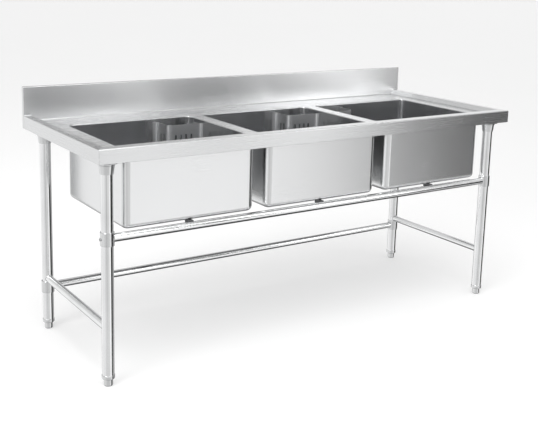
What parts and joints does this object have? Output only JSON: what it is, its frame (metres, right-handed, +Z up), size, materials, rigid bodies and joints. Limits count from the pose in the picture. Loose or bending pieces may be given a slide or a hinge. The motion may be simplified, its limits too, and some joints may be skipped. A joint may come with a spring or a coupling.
{
  "type": "three compartment sink",
  "caption": "Freestanding commercial sink: worktop with raised rims and splashback, deep bowls with slotted corner guards, tubular legs with rails and adjustable feet.",
  "frame": {"origin": "on the floor, under the middle of the footprint", "axes": "+X along the length to the right of someone who stands in front, +Y back to the wall, +Z up"},
  "size_m": [1.8, 0.7, 0.905],
  "materials": {
    "worktop_sheet": "satin brushed along the length",
    "bowl_sheet": "satin, slightly glossier than the worktop",
    "guard_sheet": "satin",
    "frame_steel": "satin",
    "tube_steel": "polished tube",
    "foot_steel": "satin",
    "fitting": "polished",
    "screw": "satin",
    "nut_plastic": "moulded",
    "rubber": "matt"
  },
  "bodies": {
    "sink": {"worktop": "worktop_sheet", "splashback": "worktop_sheet", "front_channel": "frame_steel", "rear_channel": "frame_steel", "left_channel": "frame_steel", "right_channel": "frame_steel", "bowl_1": "bowl_sheet", "bowl_2": "bowl_sheet", "bowl_3": "bowl_sheet", "waste_1": "fitting", "waste_2": "fitting", "waste_3": "fitting", "waste_nuts": "nut_plastic", "waste_washers": "rubber", "leg_front_left": "tube_steel", "leg_front_right": "tube_steel", "leg_rear_left": "tube_steel", "leg_rear_right": "tube_steel", "socket_front_left": "frame_steel", "socket_front_right": "frame_steel", "socket_rear_left": "frame_steel", "socket_rear_right": "frame_steel", "socket_screws": "screw", "side_rail_left": "tube_steel", "side_rail_right": "tube_steel", "front_rail": "tube_steel", "rear_rail": "tube_steel", "clamp_front_left": "frame_steel", "clamp_front_right": "frame_steel", "clamp_rear_left": "frame_steel", "clamp_rear_right": "frame_steel", "clamp_screws": "screw", "bowl_pads": "rubber", "foot_sleeve_front_left": "foot_steel", "foot_sleeve_front_right": "foot_steel", "foot_sleeve_rear_left": "foot_steel", "foot_sleeve_rear_right": "foot_steel"},
    "guard_1": {"corner_guard_1": "guard_sheet"},
    "guard_2": {"corner_guard_2": "guard_sheet"},
    "guard_3": {"corner_guard_3": "guard_sheet"},
    "overflow_1": {"overflow_pipe_1": "fitting"},
    "overflow_2": {"overflow_pipe_2": "fitting"},
    "overflow_3": {"overflow_pipe_3": "fitting"},
    "foot_front_left": {"foot_front_left": "foot_steel"},
    "foot_front_right": {"foot_front_right": "foot_steel"},
    "foot_rear_left": {"foot_rear_left": "foot_steel"},
    "foot_rear_right": {"foot_rear_right": "foot_steel"}
  },
  "joints": [
    {"name": "guard_1_lift", "type": "slide", "parent": "sink", "child": "guard_1", "axis": [0, 0, 1], "range_m": [0, 0.27]},
    {"name": "guard_2_lift", "type": "slide", "parent": "sink", "child": "guard_2", "axis": [0, 0, 1], "range_m": [0, 0.27]},
    {"name": "guard_3_lift", "type": "slide", "parent": "sink", "child": "guard_3", "axis": [0, 0, 1], "range_m": [0, 0.27]},
    {"name": "overflow_1_lift", "type": "slide", "parent": "sink", "child": "overflow_1", "axis": [0, 0, 1], "range_m": [0, 0.27]},
    {"name": "overflow_2_lift", "type": "slide", "parent": "sink", "child": "overflow_2", "axis": [0, 0, 1], "range_m": [0, 0.27]},
    {"name": "overflow_3_lift", "type": "slide", "parent": "sink", "child": "overflow_3", "axis": [0, 0, 1], "range_m": [0, 0.27]},
    {"name": "foot_front_left_adjust", "type": "slide", "parent": "sink", "child": "foot_front_left", "axis": [0, 0, 1], "range_m": [-0.025, 0]},
    {"name": "foot_front_right_adjust", "type": "slide", "parent": "sink", "child": "foot_front_right", "axis": [0, 0, 1], "range_m": [-0.025, 0]},
    {"name": "foot_rear_left_adjust", "type": "slide", "parent": "sink", "child": "foot_rear_left", "axis": [0, 0, 1], "range_m": [-0.025, 0]},
    {"name": "foot_rear_right_adjust", "type": "slide", "parent": "sink", "child": "foot_rear_right", "axis": [0, 0, 1], "range_m": [-0.025, 0]}
  ]
}
